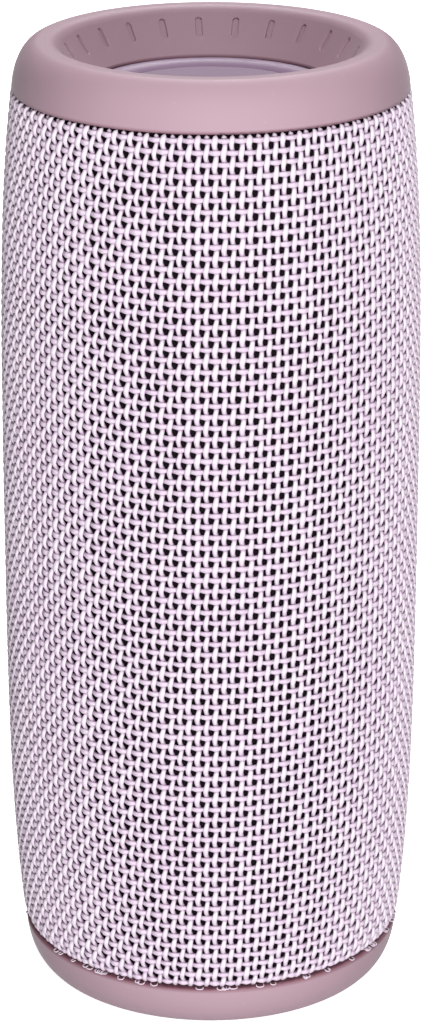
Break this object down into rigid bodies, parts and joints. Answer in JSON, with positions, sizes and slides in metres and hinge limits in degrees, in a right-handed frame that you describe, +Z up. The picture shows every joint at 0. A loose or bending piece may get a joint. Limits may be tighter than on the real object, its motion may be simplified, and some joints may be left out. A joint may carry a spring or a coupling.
{
  "type": "portable bluetooth speaker",
  "caption": "Barrel-shaped upright speaker with a woven yarn sleeve, soft end rings, recessed bass radiators, two front drivers, a rear button strip and a hinged port door.",
  "frame": {"origin": "middle of the foot, on the plane the speaker stands on", "axes": "+Z up along the barrel, the drivers face -Y and the buttons face +Y"},
  "size_m": [0.075, 0.0758, 0.1752],
  "materials": {
    "woven_yarn": "woven polyester yarn, pink and lilac",
    "black_scrim": "fine black acoustic scrim",
    "black_plastic": "satin moulded plastic",
    "pink_silicone": "soft-touch silicone",
    "lilac_rubber": "smooth rubber",
    "lilac_plastic": "matt moulded plastic",
    "black_rubber": "butyl rubber",
    "paper_cone": "coated paper pulp",
    "steel": "zinc plated",
    "magnet_metal": "nickel plated",
    "copper_coil": "enamelled copper wire",
    "cell_wrap": "shrink sleeve",
    "green_board": "glass-epoxy board",
    "chip_black": "moulded package",
    "clear_plastic": "clear light guide",
    "brown_spider": "impregnated cloth"
  },
  "bodies": {
    "speaker": {"battery_cells": "cell_wrap", "battery_cradle": "black_plastic", "board_capacitors": "chip_black", "board_chips": "chip_black", "board_inductors": "chip_black", "board_screws": "steel", "bottom_cap_frame": "black_plastic", "bottom_end_ring": "pink_silicone", "bottom_radiator_frame": "black_plastic", "bottom_radiator_surround": "lilac_rubber", "button_board": "green_board", "button_switches": "chip_black", "cap_frame_screws": "steel", "charging_board": "green_board", "charging_socket": "steel", "control_strip": "pink_silicone", "driver_gaskets": "black_rubber", "driver_leads": "black_rubber", "driver_screws": "steel", "front_housing": "black_plastic", "housing_screws": "steel", "lower_basket": "black_plastic", "lower_cone_surround": "black_rubber", "lower_magnet": "magnet_metal", "lower_pole_plate": "steel", "lower_spider": "brown_spider", "lower_yoke": "magnet_metal", "main_board": "green_board", "port_hinge_pin": "steel", "rear_housing": "black_plastic", "sleeve_lining": "black_scrim", "status_light_guide": "clear_plastic", "status_lights": "clear_plastic", "top_cap_frame": "black_plastic", "top_end_ring": "pink_silicone", "top_radiator_frame": "black_plastic", "top_radiator_surround": "lilac_rubber", "upper_basket": "black_plastic", "upper_cone_surround": "black_rubber", "upper_magnet": "magnet_metal", "upper_pole_plate": "steel", "upper_spider": "brown_spider", "upper_yoke": "magnet_metal", "woven_sleeve": "woven_yarn"},
    "top_radiator": {"top_radiator_diaphragm": "lilac_plastic", "top_radiator_weight": "steel"},
    "bottom_radiator": {"bottom_radiator_diaphragm": "lilac_plastic", "bottom_radiator_weight": "steel"},
    "upper_driver": {"upper_voice_coil": "copper_coil", "upper_cone": "paper_cone", "upper_dust_cap": "paper_cone"},
    "lower_driver": {"lower_voice_coil": "copper_coil", "lower_cone": "paper_cone", "lower_dust_cap": "paper_cone"},
    "power_button": {"power_button": "pink_silicone"},
    "pairing_button": {"pairing_button": "pink_silicone"},
    "volume_down_button": {"volume_down_button": "pink_silicone"},
    "volume_up_button": {"volume_up_button": "pink_silicone"},
    "play_button": {"play_button": "pink_silicone"},
    "port_door": {"port_door": "pink_silicone"}
  },
  "joints": [
    {"name": "top_radiator_travel", "type": "slide", "parent": "speaker", "child": "top_radiator", "axis": [0, 0, 1], "range_m": [-0.0015, 0.0015], "stiffness_N_per_m": 900, "deforming": ["top_radiator_surround"]},
    {"name": "bottom_radiator_travel", "type": "slide", "parent": "speaker", "child": "bottom_radiator", "axis": [0, 0, 1], "range_m": [-0.0015, 0.0015], "stiffness_N_per_m": 900, "deforming": ["bottom_radiator_surround"]},
    {"name": "upper_cone_travel", "type": "slide", "parent": "speaker", "child": "upper_driver", "axis": [0, -1, 0], "range_m": [-0.001, 0.001], "stiffness_N_per_m": 1100, "deforming": ["upper_cone_surround", "upper_spider"]},
    {"name": "lower_cone_travel", "type": "slide", "parent": "speaker", "child": "lower_driver", "axis": [0, -1, 0], "range_m": [-0.001, 0.001], "stiffness_N_per_m": 1100, "deforming": ["lower_cone_surround", "lower_spider"]},
    {"name": "power_button_press", "type": "slide", "parent": "speaker", "child": "power_button", "axis": [0, -1, 0], "range_m": [0, 0.0005], "stiffness_N_per_m": 400},
    {"name": "pairing_button_press", "type": "slide", "parent": "speaker", "child": "pairing_button", "axis": [0, -1, 0], "range_m": [0, 0.0005], "stiffness_N_per_m": 400},
    {"name": "volume_down_button_press", "type": "slide", "parent": "speaker", "child": "volume_down_button", "axis": [0, -1, 0], "range_m": [0, 0.0005], "stiffness_N_per_m": 400},
    {"name": "volume_up_button_press", "type": "slide", "parent": "speaker", "child": "volume_up_button", "axis": [0, -1, 0], "range_m": [0, 0.0005], "stiffness_N_per_m": 400},
    {"name": "play_button_press", "type": "slide", "parent": "speaker", "child": "play_button", "axis": [0, -1, 0], "range_m": [0, 0.0005], "stiffness_N_per_m": 400},
    {"name": "port_door_hinge", "type": "hinge", "parent": "speaker", "child": "port_door", "pos_m": [0, 0.03638, 0.0474], "axis": [-1, 0, 0], "range_deg": [0, 95]}
  ]
}
